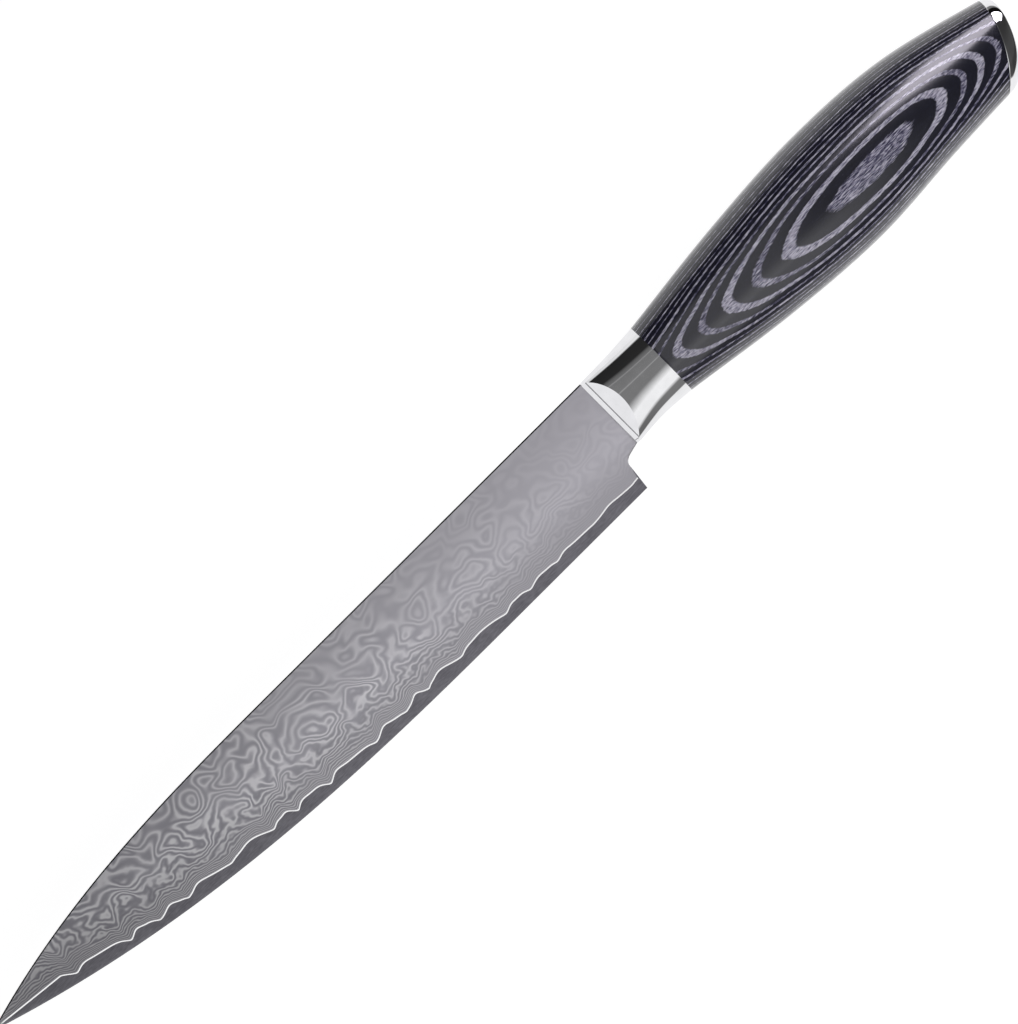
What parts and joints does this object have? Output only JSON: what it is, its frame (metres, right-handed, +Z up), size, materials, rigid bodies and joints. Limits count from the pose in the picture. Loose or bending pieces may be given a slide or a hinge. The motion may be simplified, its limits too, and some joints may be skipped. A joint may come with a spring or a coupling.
{
  "type": "slicing knife",
  "caption": "Kitchen slicing knife with a Damascus-clad blade, polished steel bolster, layered wood grip and curved steel end cap.",
  "frame": {"origin": "under the middle of the knife's box, on the surface that the grip's swell lies on", "axes": "+X from the tip to the butt, +Y from the cutting edge to the spine, +Z up, square to the blade's middle plane"},
  "size_m": [0.3288, 0.0336, 0.0226],
  "materials": {
    "core_steel": "satin ground core steel",
    "damascus_steel": "etched Damascus pattern, satin",
    "polished_steel": "mirror polished stainless steel",
    "plain_steel": "as machined",
    "resin": "cast bedding resin",
    "layered_wood": "black and grey dyed veneers in resin, polished"
  },
  "bodies": {
    "root": {"blade_core": "core_steel", "damascus_cladding_upper": "damascus_steel", "damascus_cladding_lower": "damascus_steel", "bolster": "polished_steel", "tang": "plain_steel", "bedding_resin": "resin", "handle": "layered_wood", "tang_washer": "plain_steel", "tang_nut": "plain_steel", "end_cap": "polished_steel"}
  },
  "joints": []
}
